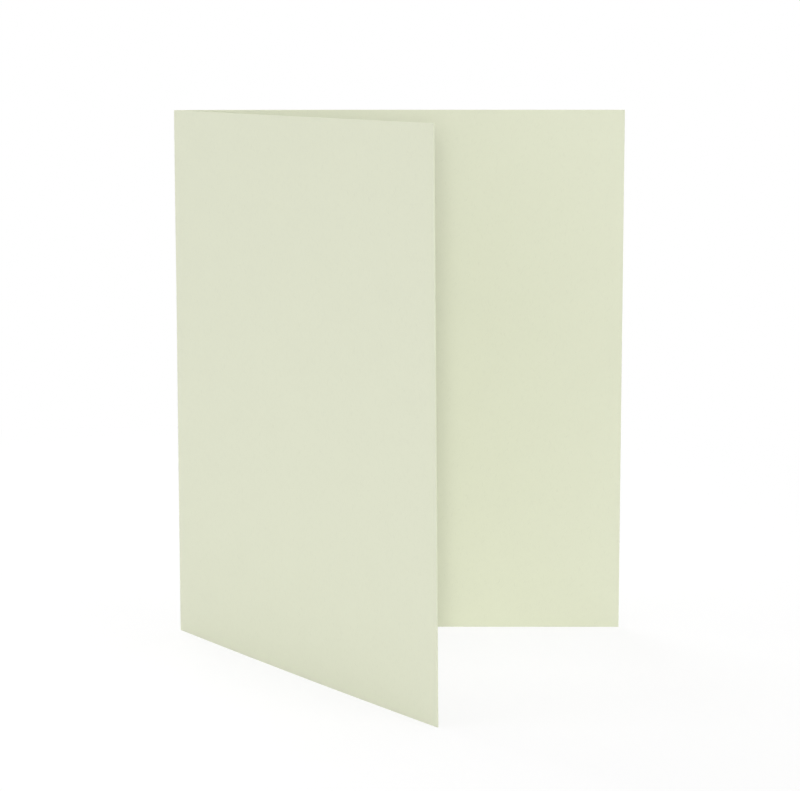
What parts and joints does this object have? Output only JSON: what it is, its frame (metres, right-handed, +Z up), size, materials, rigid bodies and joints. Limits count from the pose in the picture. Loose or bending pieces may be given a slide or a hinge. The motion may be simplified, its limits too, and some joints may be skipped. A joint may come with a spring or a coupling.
{
  "type": "folded card",
  "caption": "Blank folded card: one sheet of ivory card stock, creased down the middle and standing half open like a V.",
  "frame": {"origin": "middle of the card's box in plan, on the surface that its cut bottom edge stands on", "axes": "+Z up along the crease; +X along the flat back panel, away from the crease; the front panel swings out towards -Y, so that the card is seen from -Y"},
  "size_m": [0.1274, 0.1094, 0.15],
  "materials": {
    "card_stock": "matt uncoated felt, pale ivory with a green cast, the same on both sides and on the cut edges"
  },
  "bodies": {
    "root": {"folded_card": "card_stock"}
  },
  "joints": []
}
